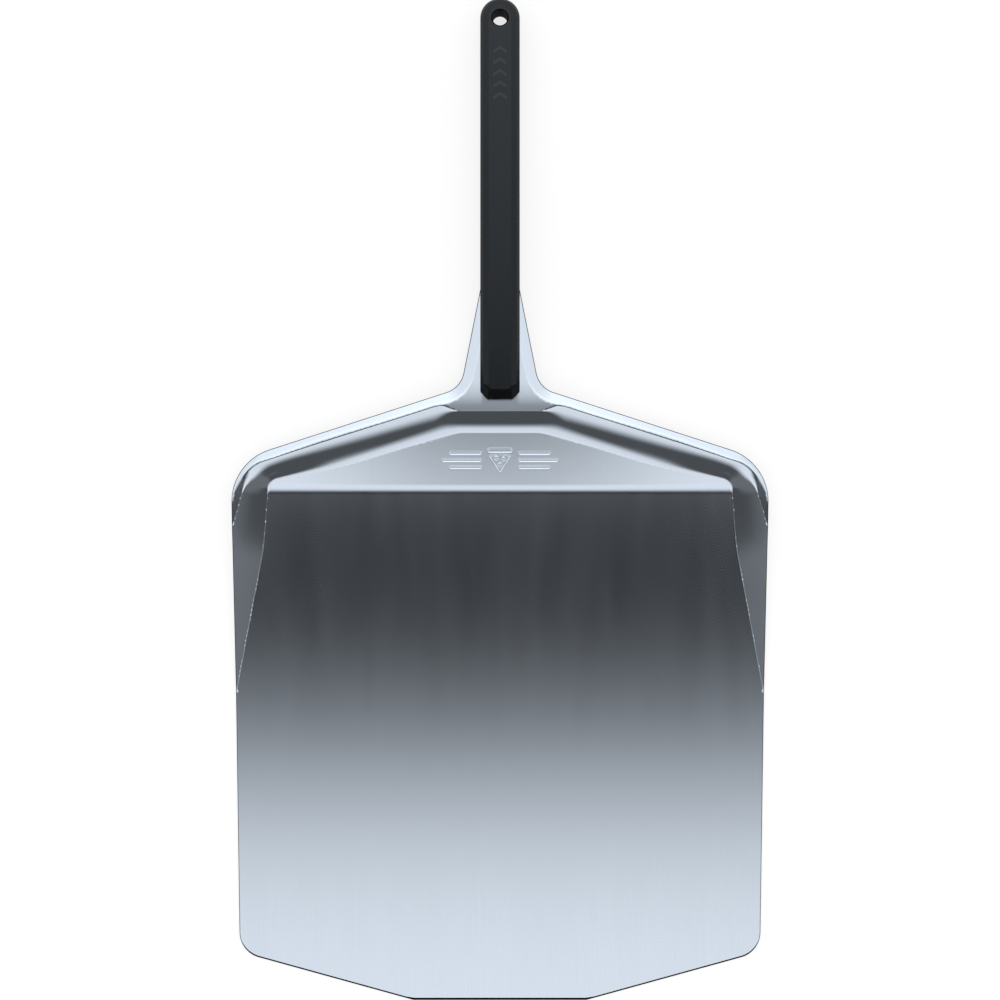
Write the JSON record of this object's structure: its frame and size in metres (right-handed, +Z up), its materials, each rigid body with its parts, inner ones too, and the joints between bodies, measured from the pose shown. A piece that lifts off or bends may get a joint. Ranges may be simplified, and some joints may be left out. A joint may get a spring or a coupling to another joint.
{
  "type": "pizza peel",
  "caption": "Flat metal pizza peel: a stamped sheet blade with a bevelled front edge, a raised rear rim and a moulded two-shell grip with a hanging hole.",
  "frame": {"origin": "on the surface the blade lies on, under the middle of the peel's bounding box", "axes": "+Z up from the underside of the blade, +Y from the bevelled front edge to the end of the handle, +X across the blade"},
  "size_m": [0.3564, 0.665, 0.025],
  "materials": {
    "blade_aluminium": "satin brushed, clear anodised",
    "grip_nylon": "fine moulded texture, satin matte",
    "screw_steel": "plain zinc-plated steel"
  },
  "bodies": {
    "root": {"blade": "blade_aluminium", "handle_upper_shell": "grip_nylon", "handle_lower_shell": "grip_nylon", "handle_screw_front": "screw_steel", "handle_screw_front_middle": "screw_steel", "handle_screw_rear_middle": "screw_steel", "handle_screw_rear": "screw_steel"}
  },
  "joints": []
}
